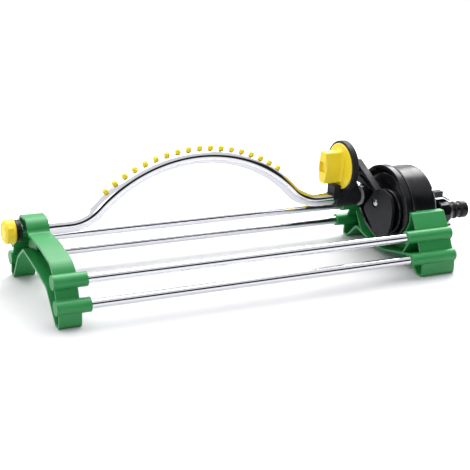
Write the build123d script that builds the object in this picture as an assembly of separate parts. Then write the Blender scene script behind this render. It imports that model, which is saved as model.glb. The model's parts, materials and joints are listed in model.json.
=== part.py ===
from build123d import *
import math
import os

# Oscillating lawn sprinkler: two moulded feet on four aluminium rails, a swinging arched spray
# tube with eighteen nozzles, and a water motor that drives the tube through a crank and a rod.
#
# Millimetres, +Z up. Stations along X are counted from the outer face of the left foot; Y is 0
# midway between the rails and negative at the front; heights are counted from 1 mm above the
# ground. The finished pieces are moved so that the origin lies on the ground, under the middle of
# the sprinkler's length.

os.makedirs("parts", exist_ok=True)

# ------------------------------------------------------------------ driving dimensions
CAP_END_X = -17.5          # outer end of the flushing cap
NIPPLE_END_X = 450.0       # outer end of the hose nipple
CENTRE_SHIFT = -(CAP_END_X + NIPPLE_END_X) / 2
GROUND_Z = -1.0            # height of the ground

RUN = 0.05                 # radial running clearance of a turning fit
GAP = 0.35                 # air between pieces that pass each other
WALL = 2.2                 # wall of the moulded feet

# rails
RAIL_R = 4.25
UPPER_RAIL = (57.8, 35.6)  # distance from the middle plane, height
LOWER_RAIL = (66.7, 16.7)
RAIL_START_X = 4.0
RAIL_END_X = 382.0

# left foot
LEFT_DEPTH = 19.3
LEFT_SOCKET_X = (-2.0, 27.5)
LEFT_SOCKET_R = 6.25
LEFT_WEB_X = (14.4, 16.9)
COLLAR_R = 11.2
COLLAR_RISE = 12.4         # top of the collar above the spray tube's axis

# right foot
RIGHT_X = (352.0, 388.4)
RIGHT_SOCKET_X = 339.2
RIGHT_SOCKET_R = 6.0
RIGHT_WEB_X = (369.0, 371.5)
CRADLE_TOP = 54.5
CRADLE_WALL = 3.4          # wall under the motor, thicker than the rest for the flange's rebate

# spray tube
SPRAY_Y = 29.0
SPRAY_Z = 53.4
TUBE_R = 6.4
TUBE_BORE = 5.4
TUBE_START_X = -14.0
TUBE_END_X = 326.0
ARCH_X = 166.4             # middle of the arch
ARCH_RISE_CENTRE = -30.0   # height of the arch's centre of curvature
ARCH_R = 135.8
ARCH_SPAN = 125.4          # from the middle of the arch to the end of each straight
NOZZLES = 18
NOZZLE_FIRST = 129.4       # angle of the first nozzle about the arch's centre, degrees
NOZZLE_LAST = 55.7
NOZZLE_R = 2.5
NOZZLE_STEM_R = 1.7

# range dial and its bracket
SLEEVE_R = 9.3
SLEEVE_X = (311.0, 339.2)
SLEEVE_STEP_X = 335.8      # where the sleeve narrows in front of the washer
SLEEVE_NECK_R = 7.2
WASHER_X = (339.5, 341.1)
BRACKET_BLOCK_X = (308.0, 315.0)
SADDLE_X = 335.0           # right end of the thick web behind the dial's disc
DIAL_Z = SPRAY_Z + 31.8
BRACKET_DISC_R = 24.6
BRACKET_DISC_X = (316.2, 323.4)
DIAL_SEAT_X = 320.2        # floor of the recess in the disc that the dial's flange runs in
DIAL_R = 22.4
DIAL_FACE_X = 315.4
GRIP_END_X = 296.6
GRIP_HEIGHT = 31.2
DIAL_SHAFT_R = 3.8

# crank and connecting rod
ROD_X = (341.3, 344.3)
CRANK_PIN = (0.4, 53.4)
CRANK_THROW = 13.0
CRANK_AT = (CRANK_PIN[0] - CRANK_THROW * math.sqrt(0.5), CRANK_PIN[1] + CRANK_THROW * math.sqrt(0.5))
ROCKER_PIN = (36.0, 81.5)
ROCKER_PIN_R = 3.0
EYE_R = 6.6
EYE_START_X = 326.5        # left end of the rod's deep eye
CRANK_X = (344.65, 347.4)
OUTPUT_SHAFT_R = 4.0
SEAL_X = 333.3             # middle of the O-ring in the swivel

# water motor
MOTOR_Y = 1.5
MOTOR_Z = 45.0
MOTOR_R = 42.5             # round top of the casing
MOTOR_FLOOR = 17.2         # lowest point of the casing
MOTOR_WALL = 2.5
FLANGE_GROW = 1.7          # how far the cover's flange stands out from the casing
COVER_X = (350.0, 356.0)
COVER_FLOOR_X = 354.5      # bottom of the groove inside the bezel
BOSS_X = 347.8             # front of the round boss that carries the output shaft
BOSS_AT = (-11.8, 47.7)
BOSS_R = 21.4
GASKET_X = (356.0, 357.0)
BODY_X = (357.0, 388.0)
PLATE_X = (370.8, 372.8)
ARBOR_START_X = 353.0
MODULE = 0.75
WHEEL_TEETH = 40
PINION_TEETH = 10
GEAR_STEP = MODULE * (WHEEL_TEETH + PINION_TEETH) / 2
SCREW_PLACES = [(1.5, 82.0), (32.0, 66.0), (-29.0, 69.0), (-27.0, 30.8), (29.0, 31.2)]
ARBOR_R = 1.5
SCREW_TIP_X = 354.8        # blind ends of the cover screws' holes
SCREW_SEAT_X = 382.0       # seats of the cover screws' heads

# hose inlet
INLET_Z = 36.8
SPOUT_R = 9.6
SPOUT_END_X = 419.0
NIPPLE_SEAT_X = (443.0, 448.8)
NUT_X = (412.0, 430.0)
NUT_R = 12.6
NUT_SIDES = 8
NIPPLE_R = 8.6
WATERWAY_R = 4.6


# ------------------------------------------------------------------ helpers
def along_x(sketch, start, end):
    """Extrude a sketch drawn in (Y, Z) between two stations."""
    return Pos(start, 0, 0) * extrude(Plane.YZ * sketch, amount=end - start)


def rod_x(start, end, radius, y=0.0, z=0.0):
    """A cylinder along X between two stations."""
    return along_x(Pos(y, z) * Circle(radius), start, end)


def ring_x(start, end, outer, inner, y=0.0, z=0.0):
    """A tube along X between two stations."""
    return along_x(Pos(y, z) * (Circle(outer) - Circle(inner)), start, end)


def turned(profile, y=0.0, z=0.0):
    """Revolve an outline of (station, radius) points about a line along X at (y, z)."""
    face = make_face(Polyline(*profile, close=True))
    return Pos(0, y, z) * revolve(face, axis=Axis.X)


def polar(centre, radius, degrees):
    """The (Y, Z) point at a distance and an angle from a centre."""
    turn = math.radians(degrees)
    return (centre[0] + radius * math.cos(turn), centre[1] + radius * math.sin(turn))


def rounded(points, radii):
    """A face with the given corners, each rounded by its own radius."""
    return make_face(FilletPolyline(*points, radius=radii, close=True))


def inset(points, radii, distance):
    """Corners and radii of an outline moved inwards; points run anticlockwise."""
    corners = []
    new_radii = []
    for (xa, ya), (xb, yb), (xc, yc), radius in zip(points[-1:] + points[:-1], points,
                                                    points[1:] + points[:1], radii):
        before = Vector(xb - xa, yb - ya).normalized()
        after = Vector(xc - xb, yc - yb).normalized()
        cross = before.X * after.Y - before.Y * after.X
        normal = Vector(-before.Y - after.Y, before.X + after.X)
        scale = distance / (1 + before.dot(after))
        corners.append((xb + normal.X * scale, yb + normal.Y * scale))
        new_radii.append(max(radius - distance, 0.4) if cross > 0 else radius + distance)
    return corners, new_radii


def rail_places():
    """The (Y, Z) of the four rails."""
    return [(side * y, z) for side in (-1, 1) for y, z in (UPPER_RAIL, LOWER_RAIL)]


def discs(places, radius):
    """Equal circles at several (Y, Z) places, as one sketch."""
    return Sketch() + [Pos(*place) * Circle(radius) for place in places]


def gear(teeth, start, end, centre, turn=0.0):
    """A spur gear with straight-flanked teeth and open backlash."""
    pitch_r = MODULE * teeth / 2
    root_r = pitch_r - 1.25 * MODULE
    tip_r = pitch_r + 0.8 * MODULE
    step = 360.0 / teeth
    points = []
    for tooth in range(teeth):
        middle = turn + tooth * step
        points.append(polar((0, 0), root_r, middle - 0.25 * step))
        points.append(polar((0, 0), tip_r, middle - 0.10 * step))
        points.append(polar((0, 0), tip_r, middle + 0.10 * step))
        points.append(polar((0, 0), root_r, middle + 0.25 * step))
    face = make_face(Polyline(*points, close=True))
    return along_x(Pos(*centre) * face, start, end)


# ------------------------------------------------------------------ feet and rails
def left_foot_corners():
    """Corners and radii of the left foot's side view: a bridge with a collar on its back half."""
    top = SPRAY_Z + COLLAR_RISE
    front = [(-60.5, GROUND_Z), (-70.6, GROUND_Z), (-70.6, 13), (-63.5, 23), (-60, 31), (-55.5, 42),
             (-47.5, 49), (-18, 54.2), (SPRAY_Y - 15.8, 54.6)]
    collar = [(SPRAY_Y - 12.0, top), (SPRAY_Y + 12.0, top)]
    back = [(SPRAY_Y + 15.0, 54.0), (49.5, 48.5), (55.5, 42), (60, 31), (63.5, 23), (70.6, 13),
            (70.6, GROUND_Z), (62, GROUND_Z)]
    under = [(47.5, 21.5), (30, 34), (-6, 28.8), (-36, 23), (-52, 7)]
    corners = front + collar + back + under
    radii = [1.5, 4, 3, 2, 2, 20, 20, 100, 5, COLLAR_R, COLLAR_R, 3, 4, 2, 2, 2, 3, 4, 1.5, 12, 5, 40, 14, 20]
    return corners[::-1], radii[::-1]


def left_foot():
    """Moulded foot: outer wall, recessed web, blind sockets for the rails and a bush seat."""
    corners, radii = left_foot_corners()
    outline = rounded(corners, radii) + discs(rail_places(), LEFT_SOCKET_R)
    pocket = rounded(*inset(corners, radii, WALL)) - discs(rail_places(), LEFT_SOCKET_R)
    keep = discs(rail_places(), LEFT_SOCKET_R) + Pos(SPRAY_Y, SPRAY_Z) * Circle(10.4)
    foot = along_x(outline, 0, LEFT_DEPTH)
    foot -= along_x(pocket, -1, LEFT_WEB_X[0])
    foot -= along_x(pocket - keep, LEFT_WEB_X[1], LEFT_DEPTH + 1)
    for y, z in rail_places():
        foot += rod_x(LEFT_SOCKET_X[0], LEFT_SOCKET_X[1], LEFT_SOCKET_R, y, z)
    foot += rod_x(8.0, LEFT_DEPTH, 10.4, SPRAY_Y, SPRAY_Z)
    step = rounded([(15, 38.5), (23, 43.4), (40, 40.6), (44, 33)], [1, 2, 2, 1])
    foot += along_x(step, 8.5, LEFT_WEB_X[1])
    for y, z in rail_places():
        foot -= rod_x(RAIL_START_X, LEFT_SOCKET_X[1] + 1, RAIL_R, y, z)
    foot -= rod_x(-5, LEFT_DEPTH + 1, 8.0, SPRAY_Y, SPRAY_Z)
    return foot


def motor_outline(grow=0.0):
    """Side view of the motor casing: a round top on a shallower round floor."""
    left = (MOTOR_Y - MOTOR_R - grow, MOTOR_Z)
    right = (MOTOR_Y + MOTOR_R + grow, MOTOR_Z)
    top = ThreePointArc(left, (MOTOR_Y, MOTOR_Z + MOTOR_R + grow), right)
    floor = ThreePointArc(right, (MOTOR_Y, MOTOR_FLOOR - grow), left)
    return make_face([top, floor])


def right_foot_corners():
    """Corners and radii of the right foot's side view, with the motor's cradle still filled in."""
    front = [(-62, GROUND_Z), (-71, GROUND_Z), (-70.2, 12), (-64.6, 23.5), (-61, 31), (-55.5, 42),
             (-47, CRADLE_TOP)]
    back = [(-y, z) for y, z in reversed(front)]
    under = [(46.5, 13.2), (4.5, 2.6), (-46.5, 13.2)]
    radii = [1.5, 3, 3, 2, 2, 2, 1.5]
    return (front + back + under)[::-1], (radii + radii[::-1] + [3, 60, 3])[::-1]


def right_foot():
    """Moulded foot with an open cradle that carries the motor, through sockets and stiffening ribs."""
    corners, radii = right_foot_corners()
    whole = rounded(corners, radii) + discs(rail_places(), RIGHT_SOCKET_R)
    cradle = motor_outline(GAP)
    outline = whole - cradle
    pocket = rounded(*inset(corners, radii, WALL)) - motor_outline(GAP + CRADLE_WALL)
    for side in (-1, 1):
        rib = Pos(side * 42.0, 20.5) * Rot(0, 0, side * 55) * Rectangle(24, 1.6)
        pocket -= rib
    pocket -= discs(rail_places(), RIGHT_SOCKET_R)
    foot = along_x(outline, *RIGHT_X)
    foot -= along_x(pocket, RIGHT_X[0] - 1, RIGHT_WEB_X[0])
    foot -= along_x(pocket, RIGHT_WEB_X[1], RIGHT_X[1] + 1)
    for y, z in rail_places():
        foot += rod_x(RIGHT_SOCKET_X, RIGHT_X[1], RIGHT_SOCKET_R, y, z)
    foot -= along_x(cradle, RIGHT_SOCKET_X, RIGHT_X[1] + 1)
    foot -= along_x(motor_outline(FLANGE_GROW + GAP), RIGHT_SOCKET_X, BODY_X[0] + 3.4)
    for y, z in rail_places():
        foot -= rod_x(RIGHT_SOCKET_X - 1, RAIL_END_X, RAIL_R, y, z)
    return foot


def rail(y, z):
    """A drawn aluminium rail, pressed into both feet."""
    return rod_x(RAIL_START_X, RAIL_END_X, RAIL_R, y, z)


# ------------------------------------------------------------------ spray tube
def arch_path():
    """Centre line of the spray tube: straight, up-bend, long arch, up-bend, straight."""
    drop = SPRAY_Z - ARCH_RISE_CENTRE
    bend_r = (ARCH_SPAN ** 2 + drop ** 2 - ARCH_R ** 2) / (2 * (ARCH_R - drop))
    join = math.degrees(math.atan2(drop + bend_r, ARCH_SPAN))
    peak = (ARCH_X, ARCH_RISE_CENTRE)
    left = polar(peak, ARCH_R, 180 - join)
    right = polar(peak, ARCH_R, join)
    left_mid = polar((ARCH_X - ARCH_SPAN, SPRAY_Z + bend_r), bend_r, -90 + (90 - join) / 2)
    right_mid = polar((ARCH_X + ARCH_SPAN, SPRAY_Z + bend_r), bend_r, -90 - (90 - join) / 2)
    left_foot_end = (ARCH_X - ARCH_SPAN, SPRAY_Z)
    right_foot_end = (ARCH_X + ARCH_SPAN, SPRAY_Z)
    start = (TUBE_START_X, SPRAY_Z)
    end = (TUBE_END_X, SPRAY_Z)
    path = Line(start, left_foot_end)
    path += ThreePointArc(left_foot_end, left_mid, left)
    path += ThreePointArc(left, polar(peak, ARCH_R, 90), right)
    path += ThreePointArc(right, right_mid, right_foot_end)
    path += Line(right_foot_end, end)
    return Pos(0, SPRAY_Y, 0) * (Plane.XZ * path)


def nozzle_angle(number):
    """Angle of a nozzle about the arch's centre, degrees."""
    return NOZZLE_FIRST + (NOZZLE_LAST - NOZZLE_FIRST) * number / (NOZZLES - 1)


def nozzle_place(number):
    """Plane on the arch's centre line whose normal points out through a nozzle."""
    angle = nozzle_angle(number)
    x, z = polar((ARCH_X, ARCH_RISE_CENTRE), ARCH_R, angle)
    turn = math.radians(angle)
    return Plane(origin=(x, SPRAY_Y, z), z_dir=(math.cos(turn), 0, math.sin(turn)))


def swept(path, radius):
    """A round bar along the tube's path."""
    start = Plane(origin=(TUBE_START_X, SPRAY_Y, SPRAY_Z), z_dir=(1, 0, 0))
    return sweep(start * Circle(radius), path=path)


def spray_tube():
    """Arched aluminium tube with a drilled hole for each nozzle."""
    path = arch_path()
    tube = swept(path, TUBE_R) - swept(path, TUBE_BORE)
    for number in range(NOZZLES):
        tube -= nozzle_place(number) * Pos(0, 0, 6) * Cylinder(NOZZLE_STEM_R, 6)
    return tube


def nozzle(number):
    """Soft spray nozzle: a stem through the tube wall, a domed head and a fine bore."""
    outline = [(0.6, 4.0), (2.0, 4.0), (2.0, 4.5), (NOZZLE_STEM_R, 4.8), (NOZZLE_STEM_R, 6.45),
               (NOZZLE_R, 6.45), (NOZZLE_R, 9.3), (1.9, 10.2), (0.6, 10.2)]
    face = make_face(Polyline(*outline, close=True))
    head = revolve(Plane.XZ * face, axis=Axis.Z)
    return nozzle_place(number) * head


def tube_bush():
    """Plastic bearing bush in the left foot's collar."""
    bush = ring_x(6.5, LEFT_DEPTH + 0.6, 8.0, TUBE_R + RUN, SPRAY_Y, SPRAY_Z)
    flange = ring_x(6.5, 8.0, 9.0, TUBE_R + RUN, SPRAY_Y, SPRAY_Z)
    return bush + flange


def end_fitting():
    """Threaded plug crimped in the left end of the tube, with a round grooved flange."""
    outline = [(-15.4, 3.2), (-15.4, 7.2), (-14.6, 7.8), (-7.4, 7.8), (-7.4, 9.4), (-7.1, 9.7),
               (-5.4, 9.7), (-5.1, 9.2), (-4.7, 9.2), (-4.4, 9.7), (-3.1, 9.7), (-2.8, 9.4),
               (-2.8, TUBE_R), (-14.0, TUBE_R), (-14.0, 3.2)]
    body = turned(outline, SPRAY_Y, SPRAY_Z)
    for turn in range(2):
        station = -13.2 + 2.6 * turn
        body += ring_x(station, station + 0.9, 8.3, 7.6, SPRAY_Y, SPRAY_Z)
    return body


def cap_seal():
    """Rubber washer between the end fitting and the cap."""
    return ring_x(-16.2, -15.4, 7.2, 3.2, SPRAY_Y, SPRAY_Z)


def end_cap():
    """Flushing cap: a twelve-sided grip between two round rims, with a dished end."""
    outline = [(CAP_END_X + 0.5, 0), (CAP_END_X + 0.5, 7.0), (CAP_END_X, 7.6), (CAP_END_X + 0.1, 8.6),
               (CAP_END_X + 0.8, 9.8), (CAP_END_X + 2.2, 10.8), (-10.2, 11.0), (-9.2, 11.0),
               (-8.6, 10.9), (-7.9, 10.2), (-7.9, 8.6), (-16.2, 8.6), (-16.2, 0)]
    cap = turned(outline, SPRAY_Y, SPRAY_Z)
    facets = Pos(SPRAY_Y, SPRAY_Z) * RegularPolygon(10.35, 12, major_radius=False)
    trim = Pos(SPRAY_Y, SPRAY_Z) * Circle(14) - facets
    return cap - along_x(trim, CAP_END_X + 2.2, -9.8)


# ------------------------------------------------------------------ dial, bracket and rod
def dial_bracket():
    """Black arm clamped on the tube: a sleeve, a tall web and the cup that the range dial sits in."""
    body = rod_x(SLEEVE_X[0], SLEEVE_STEP_X, SLEEVE_R, SPRAY_Y, SPRAY_Z)
    body += rod_x(SLEEVE_STEP_X, SLEEVE_X[1], SLEEVE_NECK_R, SPRAY_Y, SPRAY_Z)
    block = Pos(SPRAY_Y, SPRAY_Z + 6.8) * Rectangle(13, 13.6)
    body += along_x(block, *BRACKET_BLOCK_X)
    neck = make_face(Polyline((SPRAY_Y - 9, SPRAY_Z), (SPRAY_Y + 9, SPRAY_Z), (SPRAY_Y + 16, DIAL_Z - 10),
                              (SPRAY_Y - 16, DIAL_Z - 10), close=True))
    body += along_x(neck, *BRACKET_DISC_X)
    humps = Sketch() + [Pos(SPRAY_Y, SPRAY_Z) * Circle(SLEEVE_R), Pos(SPRAY_Y - 1.5, SPRAY_Z + 9) * Circle(6.2)]
    body += along_x(make_hull(humps.edges()), BRACKET_DISC_X[1], SADDLE_X)
    disc = rod_x(*BRACKET_DISC_X, BRACKET_DISC_R, SPRAY_Y, DIAL_Z)
    rim = disc.edges().filter_by(GeomType.CIRCLE)
    body += chamfer(rim, 0.8)
    body -= rod_x(BRACKET_DISC_X[0] - 1, DIAL_SEAT_X, DIAL_R + GAP, SPRAY_Y, DIAL_Z)
    body -= rod_x(SLEEVE_X[0] - 4, TUBE_END_X, TUBE_R, SPRAY_Y, SPRAY_Z)
    body -= rod_x(BRACKET_DISC_X[1] - 2.4, BRACKET_DISC_X[1] + 1, ROCKER_PIN_R, *ROCKER_PIN)
    body -= rod_x(TUBE_END_X - 1, SLEEVE_X[1] + 1, 5.0 + RUN, SPRAY_Y, SPRAY_Z)
    body -= ring_x(SEAL_X - 1.3, SEAL_X + 1.3, 7.0, 4.0, SPRAY_Y, SPRAY_Z)
    body -= rod_x(DIAL_SEAT_X - 1, BRACKET_DISC_X[1] + 1, DIAL_SHAFT_R + RUN, SPRAY_Y, DIAL_Z)
    return body


def grip_outline(width, end_width):
    """Barrel-shaped section of the grip, widest at the middle of its height."""
    half, end, rise = width / 2, end_width / 2, GRIP_HEIGHT / 2
    corners = [(half, 0), (end, rise), (-end, rise), (-half, 0), (-end, -rise), (end, -rise)]
    return rounded(corners, [20, 2.6, 2.6, 20, 2.6, 2.6])


def range_dial():
    """Yellow range dial: a flange, a wide tapered grip and the shaft through the bracket."""
    shaft_end = BRACKET_DISC_X[1] + 0.4
    outline = [(DIAL_FACE_X, 0), (DIAL_FACE_X, DIAL_R - 0.8), (DIAL_FACE_X + 0.8, DIAL_R),
               (DIAL_SEAT_X - GAP, DIAL_R), (DIAL_SEAT_X - GAP, DIAL_SHAFT_R),
               (shaft_end, DIAL_SHAFT_R), (shaft_end, 1.8), (DIAL_FACE_X + 2, 1.8), (DIAL_FACE_X + 2, 0)]
    dial = turned(outline, SPRAY_Y, DIAL_Z)
    root = Plane(origin=(DIAL_FACE_X + 0.2, SPRAY_Y, DIAL_Z), x_dir=(0, 1, 0), z_dir=(-1, 0, 0))
    tip = root.offset(DIAL_FACE_X + 0.2 - GRIP_END_X)
    grip = loft([root * grip_outline(12.6, 9.5), tip * grip_outline(16.6, 10.5)])
    grip = fillet(grip.faces().sort_by(Axis.X)[0].edges(), 1.2)
    dial += grip
    seams = dial.edges().filter_by(lambda edge: abs(edge.center().X - DIAL_FACE_X) < 0.05)
    seams = seams.filter_by(lambda edge: edge.bounding_box().size.Z < GRIP_HEIGHT + 1)
    dial = fillet(seams, 2.4)
    recess = tip * Pos(0, 0, -2.6) * extrude(RectangleRounded(10.5, 10.5, 1.6), amount=4)
    return dial - recess


def dial_screw():
    """Flat-headed screw that holds the dial's shaft behind the bracket."""
    head = rod_x(BRACKET_DISC_X[1] + 0.4, BRACKET_DISC_X[1] + 2.4, 3.9, SPRAY_Y, DIAL_Z)
    return head + rod_x(DIAL_FACE_X + 3, BRACKET_DISC_X[1] + 0.4, 1.8, SPRAY_Y, DIAL_Z)


def rocker_pin():
    """Long pin behind the bracket disc that carries the upper end of the rod."""
    pin = rod_x(BRACKET_DISC_X[1] - 2.4, ROD_X[1] + 0.6, ROCKER_PIN_R, *ROCKER_PIN)
    shoulder = rod_x(BRACKET_DISC_X[1], EYE_START_X - GAP, 3.6, *ROCKER_PIN)
    head = rod_x(ROD_X[1] + GAP, ROD_X[1] + 1.8, 4.2, *ROCKER_PIN)
    return pin + shoulder + head


def connecting_rod():
    """Connecting rod: a deep eye on the rocker pin, a channel-shaped arm and a broad big end."""
    paddle = rounded([(-9, 69.8), (-24.5, 66.5), (-29.2, 54), (-28.8, 38), (-20, 19), (-5, 20.5),
                      (20.5, 42.5), (2.5, 65.5)], [9, 8, 14, 22, 8, 10, 4, 4])
    arm = make_face(Polyline((34.6, 88.6), (-7, 66.9), (2, 60), (7, 64.8), (36.6, 75.0), close=True))
    plate = along_x(paddle + arm + Pos(*ROCKER_PIN) * Circle(EYE_R), *ROD_X)
    plate += rod_x(EYE_START_X, ROD_X[1], EYE_R, *ROCKER_PIN)
    upper_flange = make_face(Polyline((34.2, 88.6), (-5.4, 67.9), (-4.6, 66.2), (35.0, 86.9), close=True))
    plate += along_x(upper_flange, ROD_X[0] - 4.0, ROD_X[1])
    lower_flange = make_face(Polyline((30.0, 74.3), (7.6, 66.5), (8.0, 65.2), (30.4, 73.0), close=True))
    plate += along_x(lower_flange, ROD_X[0] - 2.0, ROD_X[1])
    plate -= rod_x(EYE_START_X - 1, ROD_X[1] + 1, ROCKER_PIN_R + RUN, *ROCKER_PIN)
    plate -= rod_x(ROD_X[0] - 1, ROD_X[1] + 1, 2.0, *CRANK_PIN)
    plate -= rod_x(ROD_X[0] - 1, ROD_X[0] + 1.0, 5.4, *CRANK_PIN)
    return plate


def rod_screw():
    """Pan-head screw at the rod's big end."""
    outline = [(ROD_X[0] - 0.9, 0), (ROD_X[0] - 0.6, 2.2), (ROD_X[0] + 0.4, 3.4), (ROD_X[0] + 1.0, 3.4),
               (ROD_X[0] + 1.0, 2.0), (ROD_X[1], 2.0), (ROD_X[1], 0)]
    screw = turned(outline, *CRANK_PIN)
    for turn in (45, 135):
        slot = Pos(*CRANK_PIN) * Rot(0, 0, turn) * Rectangle(3.0, 0.7)
        screw -= along_x(slot, ROD_X[0] - 2, ROD_X[0] + 0.1)
    return screw


# ------------------------------------------------------------------ water motor
def wheel_centres():
    """Centres of the output wheel, the second wheel, the first wheel and the turbine."""
    second = polar(CRANK_AT, GEAR_STEP, -135)
    first = polar(second, GEAR_STEP, -20)
    turbine = polar(first, GEAR_STEP, -30)
    return CRANK_AT, second, first, turbine


def mesh_turn(teeth, driver_turn, driver_teeth, direction):
    """Angle of a gear that meshes with its driver, seen along a line of centres."""
    driver_step = 360.0 / driver_teeth
    phase = ((direction - driver_turn) / driver_step) % 1.0
    return direction + 180 + (phase + 0.5) * 360.0 / teeth


def front_cover():
    """Front cover of the motor: a bezel round a groove, a domed face, a round boss and the outlet."""
    bezel = along_x(motor_outline(FLANGE_GROW), COVER_X[0] + 0.8, COVER_X[1])
    rim = [Pos(COVER_X[0] + back, 0, 0) * (Plane.YZ * motor_outline(FLANGE_GROW - inward))
           for back, inward in ((0.8, 0.0), (0.25, 0.3), (0.0, 0.9))]
    cover = bezel + loft(rim, ruled=True)
    cover -= along_x(motor_outline(-1.6), COVER_X[0] - 1, COVER_FLOOR_X)
    dome = [Pos(station, 0, 0) * (Plane.YZ * motor_outline(-inward))
            for station, inward in ((COVER_FLOOR_X + 0.5, 4.2), (354.0, 4.6), (353.0, 5.8), (352.2, 7.6),
                                    (351.6, 10.2), (351.3, 13.0))]
    cover += loft(dome, ruled=True)
    boss = rod_x(BOSS_X, COVER_X[1], BOSS_R, *BOSS_AT)
    cover += chamfer(boss.edges().filter_by(GeomType.CIRCLE).sort_by(Axis.X)[0], 0.9)
    cover -= ring_x(BOSS_X - 1, BOSS_X + 1.2, BOSS_R - 2.6, BOSS_R - 3.6, *BOSS_AT)
    for turn in (-98, -124, -150):
        y, z = polar(BOSS_AT, BOSS_R - 7.2, turn)
        slot = Pos(y, z) * Rot(0, 0, turn) * Rectangle(7.2, 1.3)
        cover -= along_x(slot, BOSS_X - 1, BOSS_X + 1.4)
    cover -= rod_x(CRANK_X[1], COVER_X[1] + 2, OUTPUT_SHAFT_R + RUN, *CRANK_AT)
    outlet = rod_x(SEAL_X - 3.3, COVER_X[1], 5.0, SPRAY_Y, SPRAY_Z)
    outlet += rod_x(WASHER_X[1], COVER_X[1], 9.2, SPRAY_Y, SPRAY_Z)
    outlet += ring_x(COVER_X[1] - 2, PLATE_X[0], 6.4, 4.0, SPRAY_Y, SPRAY_Z)
    cover += outlet
    cover -= rod_x(SEAL_X - 4, PLATE_X[0] + 1, 3.6, SPRAY_Y, SPRAY_Z)
    cover -= ring_x(SEAL_X - 1.1, SEAL_X + 1.1, 6.0, 4.0, SPRAY_Y, SPRAY_Z)
    for place in SCREW_PLACES:
        cover -= rod_x(SCREW_TIP_X, COVER_X[1] + 1, 1.3, *place)
    for centre in wheel_centres()[1:]:
        cover -= rod_x(ARBOR_START_X, COVER_X[1] + 1, ARBOR_R, *centre)
    return cover


def outlet_seal():
    """O-ring between the motor's outlet spigot and the turning sleeve."""
    centre = Plane(origin=(SEAL_X, SPRAY_Y, SPRAY_Z + 5.45), x_dir=(1, 0, 0), z_dir=(0, 1, 0))
    return revolve(centre * Circle(1.0), axis=Axis((0, SPRAY_Y, SPRAY_Z), (1, 0, 0)))


def swivel_washer():
    """Pale thrust washer between the sleeve and the outlet boss."""
    return ring_x(*WASHER_X, 9.6, 5.0, SPRAY_Y, SPRAY_Z)


def motor_gasket():
    """Flat rubber gasket between cover and casing."""
    face = motor_outline() - motor_outline(-MOTOR_WALL)
    for place in SCREW_PLACES:
        face += Pos(*place) * Circle(3.2) & motor_outline()
        face -= Pos(*place) * Circle(1.4)
    return along_x(face, *GASKET_X)


def motor_body():
    """Motor casing: a shell with a flared front lip, a round back edge and the inlet spout."""
    outer = [(BODY_X[0], FLANGE_GROW), (BODY_X[0] + 0.6, 1.5), (BODY_X[0] + 1.6, 0.7),
             (BODY_X[0] + 2.8, 0.0), (BODY_X[0] + 4.4, -0.4)]
    back_r = 6.0
    for number in range(8):
        turn = math.radians(number * 90 / 7)
        outer.append((BODY_X[1] - back_r + back_r * math.sin(turn), -0.4 - back_r * (1 - math.cos(turn))))
    faces = [Pos(station, 0, 0) * (Plane.YZ * motor_outline(grow)) for station, grow in outer]
    body = loft(faces, ruled=True)
    hollow = along_x(motor_outline(-MOTOR_WALL), BODY_X[0] - 1, BODY_X[1] - back_r)
    hollow += along_x(motor_outline(-MOTOR_WALL - 3.0), BODY_X[1] - back_r - 1, BODY_X[1] - 2.6)
    for place in SCREW_PLACES:
        hollow -= rod_x(BODY_X[0] - 1, BODY_X[1], 3.2, *place)
        hollow -= rod_x(SCREW_SEAT_X - 3, BODY_X[1], 4.4, *place)
    body -= hollow
    body += rod_x(BODY_X[1] - 2.6, SPOUT_END_X, SPOUT_R, 0, INLET_Z)
    body += rod_x(BODY_X[1] - 1, BODY_X[1] + 8, 13.0, 0, INLET_Z)
    body -= rod_x(BODY_X[1] - 4, SPOUT_END_X + 1, 6.4, 0, INLET_Z)
    for place in SCREW_PLACES:
        body -= rod_x(BODY_X[0] - 1, BODY_X[1] + 2, 1.5, *place)
        body -= rod_x(SCREW_SEAT_X, BODY_X[1] + 2, 3.0, *place)
    return body


def cover_screws():
    """Five long screws that pull the cover onto the casing."""
    screws = []
    for place in SCREW_PLACES:
        shank = rod_x(SCREW_TIP_X, SCREW_SEAT_X, 1.25, *place)
        screws.append(shank + rod_x(SCREW_SEAT_X, SCREW_SEAT_X + 1.8, 2.8, *place))
    return Compound(children=screws)


def gearbox_plate():
    """Partition between the turbine chamber and the gears, with arbor seats."""
    face = motor_outline(-MOTOR_WALL - 0.1)
    for place in SCREW_PLACES:
        face -= Pos(*place) * Circle(3.4)
    _, second, first, turbine = wheel_centres()
    face -= Pos(SPRAY_Y, SPRAY_Z) * Circle(4.0)
    face -= Pos(*second) * Circle(ARBOR_R)
    face -= Pos(*first) * Circle(ARBOR_R)
    face -= Pos(*turbine) * Circle(2.4)
    return along_x(face, *PLATE_X)


def gear_arbors():
    """Steel pins that carry the first and second wheels and the turbine."""
    _, second, first, turbine = wheel_centres()
    pins = [rod_x(ARBOR_START_X, PLATE_X[1], ARBOR_R, *second),
            rod_x(ARBOR_START_X, PLATE_X[1], ARBOR_R, *first),
            rod_x(ARBOR_START_X, BODY_X[1] - 2.6, ARBOR_R, *turbine)]
    return Compound(children=pins)


def crank():
    """Crank arm and output shaft in one moulding; its end stops just short of the rod."""
    circles = Sketch() + [Pos(*CRANK_AT) * Circle(7.0), Pos(*CRANK_PIN) * Circle(5.4)]
    web = make_hull(circles.edges())
    arm = along_x(web, *CRANK_X)
    shaft = rod_x(CRANK_X[0], 360.2, OUTPUT_SHAFT_R, *CRANK_AT)
    return arm + shaft


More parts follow.
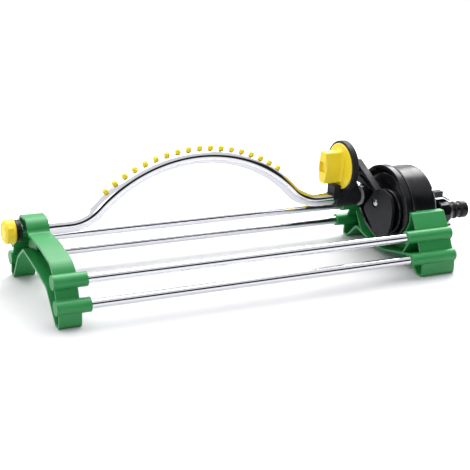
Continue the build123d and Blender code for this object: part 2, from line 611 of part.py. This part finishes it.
def wheel_turns():
    """Angles at which the gears of the train mesh, from the output wheel to the turbine pinion."""
    out_at, second_at, first_at, turbine_at = wheel_centres()
    output_turn = 0.0
    second_turn = mesh_turn(PINION_TEETH, output_turn, WHEEL_TEETH, -135)
    first_turn = mesh_turn(PINION_TEETH, second_turn, WHEEL_TEETH, -20)
    turbine_turn = mesh_turn(PINION_TEETH, first_turn, WHEEL_TEETH, -30)
    return output_turn, second_turn, first_turn, turbine_turn


def output_wheel():
    """Last wheel of the train, pressed on the output shaft."""
    wheel = gear(WHEEL_TEETH, 357.4, 360.2, CRANK_AT, wheel_turns()[0])
    return wheel - rod_x(350, 365, OUTPUT_SHAFT_R, *CRANK_AT)


def compound_gear(pinion_x, wheel_x, centre, turn):
    """A wheel and a pinion in one moulding, running on its arbor."""
    body = gear(PINION_TEETH, pinion_x[0], pinion_x[1], centre, turn)
    body += gear(WHEEL_TEETH, wheel_x[0], wheel_x[1], centre, turn)
    return body - rod_x(350, 372, ARBOR_R + RUN, *centre)


def second_wheel():
    """Middle wheel: its pinion drives the output wheel."""
    return compound_gear((357.2, 361.0), (361.0, 363.4), wheel_centres()[1], wheel_turns()[1])


def first_wheel():
    """Fast wheel: its pinion drives the second wheel."""
    return compound_gear((360.8, 365.0), (365.0, 367.4), wheel_centres()[2], wheel_turns()[2])


def turbine_pinion():
    """Small pinion and its tubular shaft through the partition."""
    centre = wheel_centres()[3]
    pinion = gear(PINION_TEETH, 364.7, 368.6, centre, wheel_turns()[3])
    shaft = rod_x(368.6, 384.6, 2.3, *centre)
    return pinion + shaft - rod_x(350, 390, ARBOR_R + RUN, *centre)


def turbine():
    """Bladed water wheel pressed on the pinion's shaft."""
    centre = wheel_centres()[3]
    wheel = rod_x(374.6, 381.6, 5.0, *centre) + rod_x(377.2, 379.0, 11.6, *centre)
    for number in range(12):
        y, z = polar(centre, 8.1, number * 30)
        blade = Pos(y, z) * Rot(0, 0, number * 30) * Rectangle(7.0, 1.2)
        wheel += along_x(blade, 375.0, 381.2)
    return wheel - rod_x(370, 390, 2.3, *centre)


def spout_clip():
    """Snap ring on the inlet spout, with a thumb lug and blade over the nut and a tail under it."""
    ring = ring_x(400.0, 408.0, 12.6, SPOUT_R, 0, INLET_Z)
    post = Pos(0, INLET_Z + 16.5) * Rectangle(7.0, 11.0)
    hook = Pos(0, INLET_Z + 18.9) * Rectangle(7.0, 6.0)
    clip = ring + along_x(post, 403.0, 409.0) + along_x(hook, 403.0, 419.0)
    blade = make_face(Polyline((418.0, 52.8), (418.0, 53.9), (423.0, 52.2), (429.0, 48.6), (428.6, 47.8),
                               (422.6, 51.2), close=True))
    clip += Pos(0, 3.0, 0) * extrude(Plane.XZ * blade, amount=6.0)
    tail_at = polar((0, INLET_Z), 16.6, -74)
    web = Pos(0, INLET_Z) * Rot(0, 0, -74) * Pos(14.0, 0) * Rectangle(7.0, 3.4)
    clip += along_x(web, 403.0, 407.0)
    tail = Pos(*tail_at) * Rot(0, 0, -74) * Rectangle(2.4, 4.4)
    return clip + along_x(tail, 403.0, 437.2)


# ------------------------------------------------------------------ hose inlet
def hose_nipple():
    """Quick-connect nipple with a rounded ridge and a broad end bead, held by the swivel nut."""
    waist = NIPPLE_R - 1.5
    outline = [(SPOUT_END_X + 1.0, WATERWAY_R), (SPOUT_END_X + 1.0, 9.4), (SPOUT_END_X + 3.4, 9.4),
               (SPOUT_END_X + 3.4, NIPPLE_R), (431.4, NIPPLE_R), (431.8, waist), (433.6, waist),
               (434.4, NIPPLE_R - 0.4), (435.2, NIPPLE_R + 0.1), (437.0, NIPPLE_R + 0.1),
               (438.0, NIPPLE_R - 0.5), (438.8, waist), (441.2, waist), (442.0, NIPPLE_R - 0.6),
               (NIPPLE_SEAT_X[0], NIPPLE_R), (NIPPLE_SEAT_X[1], NIPPLE_R),
               (NIPPLE_END_X - 0.5, NIPPLE_R - 0.5),
               (NIPPLE_END_X, NIPPLE_R - 1.5), (NIPPLE_END_X, WATERWAY_R + 0.8),
               (NIPPLE_END_X - 0.8, WATERWAY_R)]
    return turned(outline, 0, INLET_Z)


def inlet_nut():
    """Eight-sided swivel nut on the inlet spout, tapered towards the nipple."""
    outline = [(NUT_X[0], SPOUT_R + 0.5), (NUT_X[0], NUT_R - 1), (NUT_X[0] + 1, NUT_R + 0.6),
               (NUT_X[0] + 11, NUT_R + 0.6), (NUT_X[1] - 0.8, NUT_R - 2.6), (NUT_X[1], NUT_R - 3.2),
               (NUT_X[1], NIPPLE_R + RUN), (SPOUT_END_X + 3.8, NIPPLE_R + RUN),
               (SPOUT_END_X + 3.8, SPOUT_R + 0.5)]
    nut = turned(outline, 0, INLET_Z)
    sides = Pos(0, INLET_Z) * RegularPolygon(NUT_R + 0.4, NUT_SIDES, rotation=90)
    trim = Pos(0, INLET_Z) * Circle(NUT_R + 4) - sides
    nut -= along_x(trim, NUT_X[0] + 2.2, NUT_X[1] + 1)
    return nut


def inlet_washer():
    """Rubber sealing washer inside the nut."""
    return ring_x(SPOUT_END_X, SPOUT_END_X + 1.0, 9.2, WATERWAY_R, 0, INLET_Z)


def filter_screen():
    """Dome-ended wire filter in the inlet spout."""
    cup = rod_x(SPOUT_END_X - 14, SPOUT_END_X, 6.3, 0, INLET_Z)
    cup -= rod_x(SPOUT_END_X - 13, SPOUT_END_X + 1, 5.5, 0, INLET_Z)
    for number in range(8):
        slot = Pos(0, INLET_Z) * Rot(0, 0, number * 22.5) * Rectangle(20, 1.0)
        cup -= along_x(slot, SPOUT_END_X - 11.5, SPOUT_END_X - 3)
    return cup


# ------------------------------------------------------------------ assembly
def all_nodes():
    """Every piece of the sprinkler under its own name."""
    nodes = {"left_foot": left_foot(), "right_foot": right_foot()}
    names = ["rail_front_upper", "rail_front_lower", "rail_back_upper", "rail_back_lower"]
    for name, place in zip(names, rail_places()):
        nodes[name] = rail(*place)
    nodes["tube_bush"] = tube_bush()
    nodes["spray_tube"] = spray_tube()
    for number in range(NOZZLES):
        nodes[f"nozzle_{number + 1:02d}"] = nozzle(number)
    builders = [end_fitting, cap_seal, end_cap, dial_bracket, range_dial, dial_screw, rocker_pin,
                connecting_rod, rod_screw, front_cover, outlet_seal, swivel_washer, motor_gasket,
                motor_body, cover_screws, gearbox_plate, gear_arbors, crank, output_wheel,
                second_wheel, first_wheel, turbine_pinion, turbine, spout_clip, hose_nipple,
                inlet_nut, inlet_washer, filter_screen]
    for builder in builders:
        nodes[builder.__name__] = builder()
    return nodes


for node_name, shape in all_nodes().items():
    export_step(Pos(CENTRE_SHIFT, 0, -GROUND_Z) * shape, f"parts/{node_name}.step")
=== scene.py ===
import json
import math

import bmesh
import bpy
from mathutils import Matrix, Vector

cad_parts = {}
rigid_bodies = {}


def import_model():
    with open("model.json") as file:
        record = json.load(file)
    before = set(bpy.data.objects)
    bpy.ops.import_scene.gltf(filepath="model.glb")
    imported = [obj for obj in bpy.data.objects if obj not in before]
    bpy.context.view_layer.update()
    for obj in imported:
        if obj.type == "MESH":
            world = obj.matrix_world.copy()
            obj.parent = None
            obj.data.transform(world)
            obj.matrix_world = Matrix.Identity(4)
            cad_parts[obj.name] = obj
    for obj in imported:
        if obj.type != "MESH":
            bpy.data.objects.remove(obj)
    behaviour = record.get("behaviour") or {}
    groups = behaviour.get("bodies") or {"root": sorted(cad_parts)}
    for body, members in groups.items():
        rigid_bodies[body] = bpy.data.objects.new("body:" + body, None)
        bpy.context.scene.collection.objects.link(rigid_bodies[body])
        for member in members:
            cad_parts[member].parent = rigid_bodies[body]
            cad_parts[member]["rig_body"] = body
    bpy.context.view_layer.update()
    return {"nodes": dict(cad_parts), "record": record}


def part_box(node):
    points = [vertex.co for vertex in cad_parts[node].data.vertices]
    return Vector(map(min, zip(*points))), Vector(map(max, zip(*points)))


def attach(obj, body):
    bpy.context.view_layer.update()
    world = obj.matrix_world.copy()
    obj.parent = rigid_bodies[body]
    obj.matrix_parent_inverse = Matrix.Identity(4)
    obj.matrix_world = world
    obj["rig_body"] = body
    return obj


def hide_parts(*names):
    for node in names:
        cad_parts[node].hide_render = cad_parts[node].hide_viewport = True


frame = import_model()
NODES = frame["nodes"]

# Lengths are in metres, noise scales in cycles a metre.

# ------------------------------------------------------------------ camera
CAMERA_AT = Vector((-0.46595, -0.8662, 0.3530))
CAMERA_AZIMUTH = math.radians(-26.92)
CAMERA_ELEVATION = math.radians(17.96)
CAMERA_ROLL = math.radians(2.25)
LENS = 85.3
CLIP_START = 0.01


def add_camera():
    """Camera in front of the object, to its left and above it, with a slight roll."""
    back = Vector((math.sin(CAMERA_AZIMUTH) * math.cos(CAMERA_ELEVATION),
                   -math.cos(CAMERA_AZIMUTH) * math.cos(CAMERA_ELEVATION),
                   math.sin(CAMERA_ELEVATION)))
    right = Vector((0, 0, 1)).cross(back).normalized()
    up = back.cross(right)
    turned_right = math.cos(CAMERA_ROLL) * right + math.sin(CAMERA_ROLL) * up
    turned_up = -math.sin(CAMERA_ROLL) * right + math.cos(CAMERA_ROLL) * up
    data = bpy.data.cameras.new("camera")
    data.lens = LENS
    data.clip_start = CLIP_START
    camera = bpy.data.objects.new("camera", data)
    bpy.context.scene.collection.objects.link(camera)
    camera.matrix_world = Matrix((turned_right, turned_up, back)).transposed().to_4x4()
    camera.location = CAMERA_AT
    bpy.context.scene.camera = camera


# ------------------------------------------------------------------ studio
LIGHT_TARGET = (0, 0, 0.05)
LIGHTS = [  # name, place, edge length, watts
    ("overhead", (0.1, 1.0, 2.6), 2.9, 105),
    ("back_right", (1.3, 1.2, 1.5), 1.3, 42),
    ("front_left", (-1.9, -1.9, 1.5), 1.4, 16),
]
SKY_STOPS = [  # height of a direction, from 0 at the horizon to 1 overhead, and its brightness
    (0.0, 1.1), (0.03, 0.8), (0.08, 0.02), (0.49, 0.02), (0.57, 0.8), (1.0, 1.0),
]
SKY_BLUE = 1.02                          # blue over red in the banded half
SKY_BACK = (0.95, 0.95, 0.97, 1)         # the plain half behind the object
SKY_FADE = (-0.15, 0.25)                 # from banded to plain, by a direction's share of +Y
FLOOR_HALF = 3.0
FLOOR_COLOUR = (0.62, 0.62, 0.63, 1)
FLOOR_ROUGHNESS = 0.7


def add_light(name, place, size, power):
    """A soft square area light aimed at the object."""
    data = bpy.data.lights.new(name, "AREA")
    data.size = size
    data.energy = power
    light = bpy.data.objects.new(name, data)
    bpy.context.scene.collection.objects.link(light)
    light.location = place
    aim = Vector(LIGHT_TARGET) - Vector(place)
    light.rotation_euler = aim.to_track_quat("-Z", "Y").to_euler()


def add_world():
    """White studio surround; a dark band above the front horizon draws a line along the tubes."""
    world = bpy.data.worlds.new("studio")
    bpy.context.scene.world = world
    world.use_nodes = True
    tree = world.node_tree
    tree.nodes.clear()
    place = tree.nodes.new("ShaderNodeTexCoord")
    split = tree.nodes.new("ShaderNodeSeparateXYZ")
    band = tree.nodes.new("ShaderNodeValToRGB")
    side = tree.nodes.new("ShaderNodeMapRange")
    blend = tree.nodes.new("ShaderNodeMix")
    shade = tree.nodes.new("ShaderNodeBackground")
    out = tree.nodes.new("ShaderNodeOutputWorld")
    elements = band.color_ramp.elements
    while len(elements) < len(SKY_STOPS):
        elements.new(0.5)
    for element, (at, level) in zip(elements, SKY_STOPS):
        element.position = at
        element.color = (level, level, level * SKY_BLUE, 1)
    side.inputs["From Min"].default_value, side.inputs["From Max"].default_value = SKY_FADE
    blend.data_type = "RGBA"
    blend.inputs["B"].default_value = SKY_BACK
    tree.links.new(place.outputs["Generated"], split.inputs[0])
    tree.links.new(split.outputs["Z"], band.inputs["Fac"])
    tree.links.new(split.outputs["Y"], side.inputs["Value"])
    tree.links.new(side.outputs["Result"], blend.inputs["Factor"])
    tree.links.new(band.outputs["Color"], blend.inputs["A"])
    tree.links.new(blend.outputs["Result"], shade.inputs["Color"])
    tree.links.new(shade.outputs["Background"], out.inputs["Surface"])


def add_floor():
    """Plain pale floor."""
    mesh = bpy.data.meshes.new("floor")
    corners = [(-FLOOR_HALF, -FLOOR_HALF, 0), (FLOOR_HALF, -FLOOR_HALF, 0),
               (FLOOR_HALF, FLOOR_HALF, 0), (-FLOOR_HALF, FLOOR_HALF, 0)]
    mesh.from_pydata(corners, [], [(0, 1, 2, 3)])
    floor = bpy.data.objects.new("floor", mesh)
    bpy.context.scene.collection.objects.link(floor)
    material = bpy.data.materials.new("pale_floor")
    material.use_nodes = True
    shader = material.node_tree.nodes["Principled BSDF"]
    shader.inputs["Base Color"].default_value = FLOOR_COLOUR
    shader.inputs["Roughness"].default_value = FLOOR_ROUGHNESS
    mesh.materials.append(material)


# ------------------------------------------------------------------ materials
SHADE_SCALE = 18.0                       # slow change of a plastic's shade
SMEAR_SCALE = 55.0                       # patches of a plastic's gloss
SMEAR_GLOSSIER = 0.06                    # roughness less and more than its mean
SMEAR_DULLER = 0.08
GRAIN_STRENGTH = 0.35
PLASTIC_IOR = 1.48
GLOW_RADIUS = (0.004, 0.003, 0.001)
GLOW_SCALE = 0.5

DRAWN_LINES_SCALE = 900.0
DRAWN_LINES_STRETCH = (0.02, 1, 1)       # drawn out along the rails
DRAWN_LINES_DEPTH = 0.00002
DRAWN_LINES_STRENGTH = 0.12
HANDLING_SCALE = 30.0
ALUMINIUM_DARK = (0.68, 0.685, 0.72)
ALUMINIUM_PALE = (0.74, 0.745, 0.775)
ALUMINIUM_ROUGHNESS = (0.05, 0.10)

STEEL_GRAIN_SCALE = 400.0
STEEL_GRAIN_DEPTH = 0.00002
STEEL_GRAIN_STRENGTH = 0.2
STEEL_DARK = (0.60, 0.60, 0.61)
STEEL_PALE = (0.74, 0.74, 0.75)
STEEL_ROUGHNESS = (0.18, 0.32)


def new_material(name):
    """An empty node material: (material, tree, shader, texture coordinates)."""
    material = bpy.data.materials.new(name)
    material.use_nodes = True
    tree = material.node_tree
    return material, tree, tree.nodes["Principled BSDF"], tree.nodes.new("ShaderNodeTexCoord")


def noise(tree, source, scale, detail=3.0, stretch=(1, 1, 1)):
    """A noise texture in object space."""
    mapping = tree.nodes.new("ShaderNodeMapping")
    mapping.inputs["Scale"].default_value = stretch
    texture = tree.nodes.new("ShaderNodeTexNoise")
    texture.inputs["Scale"].default_value = scale
    texture.inputs["Detail"].default_value = detail
    tree.links.new(source.outputs["Object"], mapping.inputs["Vector"])
    tree.links.new(mapping.outputs["Vector"], texture.inputs["Vector"])
    return texture.outputs["Fac"]


def ranged(tree, factor, low, high, start=0.3, end=0.7):
    """A value that runs from low to high as the factor runs from start to end."""
    node = tree.nodes.new("ShaderNodeMapRange")
    node.inputs["From Min"].default_value = start
    node.inputs["From Max"].default_value = end
    node.inputs["To Min"].default_value = low
    node.inputs["To Max"].default_value = high
    tree.links.new(factor, node.inputs["Value"])
    return node.outputs["Result"]


def mixed(tree, factor, first, second):
    """A colour between two, by a factor."""
    node = tree.nodes.new("ShaderNodeMix")
    node.data_type = "RGBA"
    node.inputs["A"].default_value = (*first, 1)
    node.inputs["B"].default_value = (*second, 1)
    tree.links.new(factor, node.inputs["Factor"])
    return node.outputs["Result"]


def bumped(tree, shader, height, distance, strength):
    """Drives the shader's normal from a height."""
    node = tree.nodes.new("ShaderNodeBump")
    node.inputs["Strength"].default_value = strength
    node.inputs["Distance"].default_value = distance
    tree.links.new(height, node.inputs["Height"])
    tree.links.new(node.outputs["Normal"], shader.inputs["Normal"])


def plastic(name, colour, roughness, grain=900.0, depth=0.00006, spread=0.12, glow=0.0, shine=0.5):
    """Moulded plastic: fine spark-eroded grain, slow shade and gloss variation."""
    material, tree, shader, source = new_material(name)
    slow = noise(tree, source, SHADE_SCALE)
    dark = tuple(c * (1 - spread) for c in colour)
    pale = tuple(min(1.0, c * (1 + spread)) for c in colour)
    tree.links.new(mixed(tree, slow, dark, pale), shader.inputs["Base Color"])
    smears = noise(tree, source, SMEAR_SCALE, detail=5.0)
    gloss = ranged(tree, smears, roughness - SMEAR_GLOSSIER, roughness + SMEAR_DULLER)
    tree.links.new(gloss, shader.inputs["Roughness"])
    bumped(tree, shader, noise(tree, source, grain, detail=2.0), depth, GRAIN_STRENGTH)
    shader.inputs["IOR"].default_value = PLASTIC_IOR
    shader.inputs["Specular IOR Level"].default_value = shine
    if glow:
        shader.inputs["Subsurface Weight"].default_value = glow
        shader.inputs["Subsurface Radius"].default_value = GLOW_RADIUS
        shader.inputs["Subsurface Scale"].default_value = GLOW_SCALE
    return material


def polished_aluminium():
    """Drawn, polished aluminium tube: fine lengthwise lines and faint handling marks."""
    material, tree, shader, source = new_material("polished_aluminium_look")
    shader.inputs["Metallic"].default_value = 1.0
    lines = noise(tree, source, DRAWN_LINES_SCALE, detail=4.0, stretch=DRAWN_LINES_STRETCH)
    marks = noise(tree, source, HANDLING_SCALE, detail=4.0)
    tree.links.new(mixed(tree, marks, ALUMINIUM_DARK, ALUMINIUM_PALE), shader.inputs["Base Color"])
    tree.links.new(ranged(tree, marks, *ALUMINIUM_ROUGHNESS), shader.inputs["Roughness"])
    bumped(tree, shader, lines, DRAWN_LINES_DEPTH, DRAWN_LINES_STRENGTH)
    return material


def bright_steel():
    """Zinc-plated steel with a fine, even grain."""
    material, tree, shader, source = new_material("bright_steel_look")
    shader.inputs["Metallic"].default_value = 1.0
    grain = noise(tree, source, STEEL_GRAIN_SCALE, detail=4.0)
    tree.links.new(mixed(tree, grain, STEEL_DARK, STEEL_PALE), shader.inputs["Base Color"])
    tree.links.new(ranged(tree, grain, *STEEL_ROUGHNESS), shader.inputs["Roughness"])
    bumped(tree, shader, grain, STEEL_GRAIN_DEPTH, STEEL_GRAIN_STRENGTH)
    return material


LOOKS = {
    "green_plastic": plastic("green_plastic_look", (0.019, 0.24, 0.060), 0.38),
    "yellow_plastic": plastic("yellow_plastic_look", (0.84, 0.65, 0.026), 0.36, spread=0.05, glow=0.1),
    "black_plastic": plastic("black_plastic_look", (0.0045, 0.0047, 0.006), 0.24, shine=0.3,
                             depth=0.00003),
    "grey_plastic": plastic("grey_plastic_look", (0.30, 0.31, 0.32), 0.4),
    "white_plastic": plastic("white_plastic_look", (0.78, 0.78, 0.74), 0.4, spread=0.04),
    "polished_aluminium": polished_aluminium(),
    "steel": bright_steel(),
    "black_rubber": plastic("black_rubber_look", (0.016, 0.016, 0.016), 0.7, grain=1500.0,
                            depth=0.00004),
}
MATT_BLACK = plastic("matt_black_look", (0.011, 0.0115, 0.014), 0.5, shine=0.22)
MATT_NODES = ("connecting_rod", "dial_bracket")


# ------------------------------------------------------------------ pieces
WELD = 1e-6
FLAT_ANGLE = math.radians(0.5)           # faces closer to flat than this become one
BEVEL_SEGMENTS = 3
EDGE_ANGLE = 32.0                        # degrees; a sharper turn counts as an edge
FACET_ANGLES = {"end_cap": 20.0}         # its facets meet at less than that
EDGE_RADII = {
    "left_foot": 0.0006, "right_foot": 0.0006, "front_cover": 0.0003, "motor_body": 0.0003,
    "dial_bracket": 0.0006, "connecting_rod": 0.0004, "range_dial": 0.0004, "end_cap": 0.0003,
    "end_fitting": 0.0002, "inlet_nut": 0.0004, "hose_nipple": 0.0002, "crank": 0.0003,
    "spout_clip": 0.0004, "tube_bush": 0.0003, "rod_screw": 0.00015, "rocker_pin": 0.0003,
}


def slot_of(node):
    """The record's material slot of a CAD node."""
    return next(s["material_slot"] for s in frame["record"]["subparts"] if s["node"] == node)


def look_of(node):
    """The material of a CAD node: its slot's look, or a duller black on the rod and the bracket."""
    return MATT_BLACK if node in MATT_NODES else LOOKS[slot_of(node)]


def dress(node):
    """Gives a CAD node its look."""
    materials = NODES[node].data.materials
    materials.clear()
    materials.append(look_of(node))


def refined(node, radius, angle):
    """Replaces a CAD node by a finished copy: welded, cleaned, with softly rounded edges."""
    mesh = bmesh.new()
    mesh.from_mesh(NODES[node].data)
    bmesh.ops.remove_doubles(mesh, verts=mesh.verts, dist=WELD)
    bmesh.ops.dissolve_limit(mesh, angle_limit=FLAT_ANGLE, verts=mesh.verts, edges=mesh.edges)
    data = bpy.data.meshes.new(node + "_finished")
    mesh.to_mesh(data)
    mesh.free()
    data.materials.append(look_of(node))
    piece = bpy.data.objects.new(node + "_finished", data)
    bpy.context.scene.collection.objects.link(piece)
    bevel = piece.modifiers.new("edges", "BEVEL")
    bevel.width = radius
    bevel.segments = BEVEL_SEGMENTS
    bevel.limit_method = "ANGLE"
    bevel.angle_limit = math.radians(angle)
    bevel.harden_normals = True
    bevel.use_clamp_overlap = True
    for face in data.polygons:
        face.use_smooth = True
    data.set_sharp_from_angle(angle=math.radians(angle))
    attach(piece, NODES[node]["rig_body"])
    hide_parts(node)


# ------------------------------------------------------------------ finer pieces
GRIP_LENGTH = 0.0188                     # from the end of the dial's grip to the dial's face
DIAL_MARGIN = 0.0016                     # from the dial's rim to its ticks
TICKS = 24
LONG_EVERY = 4
LONG_TICK = 0.0026
SHORT_TICK = 0.0014
TICK_WIDTH = 0.0006
TICK_HEIGHT = 0.00035
TICK_STEPS = ((-0.2, 0.0), (0.6, 0.1), (1.0, 0.3))   # share of the height, share of the width cut a side

WEB_OUTLINE = [  # Y and Z from the rocker pin; it clears the motor's outlet over the whole swing
    (-0.030, -0.0165), (-0.022, -0.0158), (0.003, -0.0158), (0.0055, -0.010), (0.004, -0.004),
    (-0.010, -0.009),
]
WEB_THICKNESS = 0.0022
WEB_FROM_BACK = 0.0026                   # from the rod's motor side to the web's near face
WEB_EDGE = 0.0003


def new_piece(name, mesh, node):
    """Links a finished bmesh as a piece that rides with a CAD node and has its look."""
    data = bpy.data.meshes.new(name)
    mesh.to_mesh(data)
    mesh.free()
    data.materials.append(look_of(node))
    piece = bpy.data.objects.new(name, data)
    bpy.context.scene.collection.objects.link(piece)
    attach(piece, NODES[node]["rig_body"])


def raised_bar(mesh, place, width, length, height):
    """A low bar with sloping sides, sunk a little into the local XY plane, its length along Y."""
    rings = []
    for level, cut in TICK_STEPS:
        half_w = width / 2 - cut * width
        half_l = length / 2 - cut * width
        corners = [(-half_w, -half_l), (half_w, -half_l), (half_w, half_l), (-half_w, half_l)]
        rings.append([mesh.verts.new(place @ Vector((x, y, level * height))) for x, y in corners])
    for lower, upper in zip(rings, rings[1:]):
        for i in range(4):
            after = (i + 1) % 4
            mesh.faces.new((lower[i], lower[after], upper[after], upper[i]))
    mesh.faces.new(rings[-1])
    mesh.faces.new(rings[0][::-1])


def dial_marks():
    """Raised ticks round the face of the range dial, every fourth one longer."""
    low, high = (Vector(corner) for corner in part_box("range_dial"))
    middle = (low + high) / 2
    centre = Matrix.Translation((low.x + GRIP_LENGTH, middle.y, middle.z))
    facing = Matrix.Rotation(math.radians(-90), 4, "Y")
    outer = (high.z - low.z) / 2 - DIAL_MARGIN
    mesh = bmesh.new()
    for number in range(TICKS):
        length = SHORT_TICK if number % LONG_EVERY else LONG_TICK
        turn = Matrix.Rotation(math.tau * number / TICKS, 4, "Z")
        place = centre @ facing @ turn @ Matrix.Translation((0, outer - length / 2, 0))
        raised_bar(mesh, place, TICK_WIDTH, length, TICK_HEIGHT)
    new_piece("dial_marks", mesh, "range_dial")


def rod_web():
    """Thin web under the rod's arm, with broken edges."""
    low, high = (Vector(corner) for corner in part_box("rocker_pin"))
    pin = (low + high) / 2
    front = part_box("connecting_rod")[1][0] - WEB_FROM_BACK
    mesh = bmesh.new()
    near = [mesh.verts.new((front, pin.y + y, pin.z + z)) for y, z in WEB_OUTLINE]
    far = [mesh.verts.new((front + WEB_THICKNESS, pin.y + y, pin.z + z)) for y, z in WEB_OUTLINE]
    mesh.faces.new(near)
    mesh.faces.new(far[::-1])
    for i in range(len(WEB_OUTLINE)):
        after = (i + 1) % len(WEB_OUTLINE)
        mesh.faces.new((near[i], far[i], far[after], near[after]))
    bmesh.ops.recalc_face_normals(mesh, faces=mesh.faces)
    bmesh.ops.bevel(mesh, geom=mesh.edges[:], offset=WEB_EDGE, segments=2, affect="EDGES")
    new_piece("rod_web", mesh, "connecting_rod")


# ------------------------------------------------------------------ scene
add_camera()
add_world()
add_floor()
for light in LIGHTS:
    add_light(*light)
bpy.context.scene.view_settings.view_transform = "Standard"

for name in NODES:
    dress(name)
for name, radius in EDGE_RADII.items():
    refined(name, radius, FACET_ANGLES.get(name, EDGE_ANGLE))
dial_marks()
rod_web()
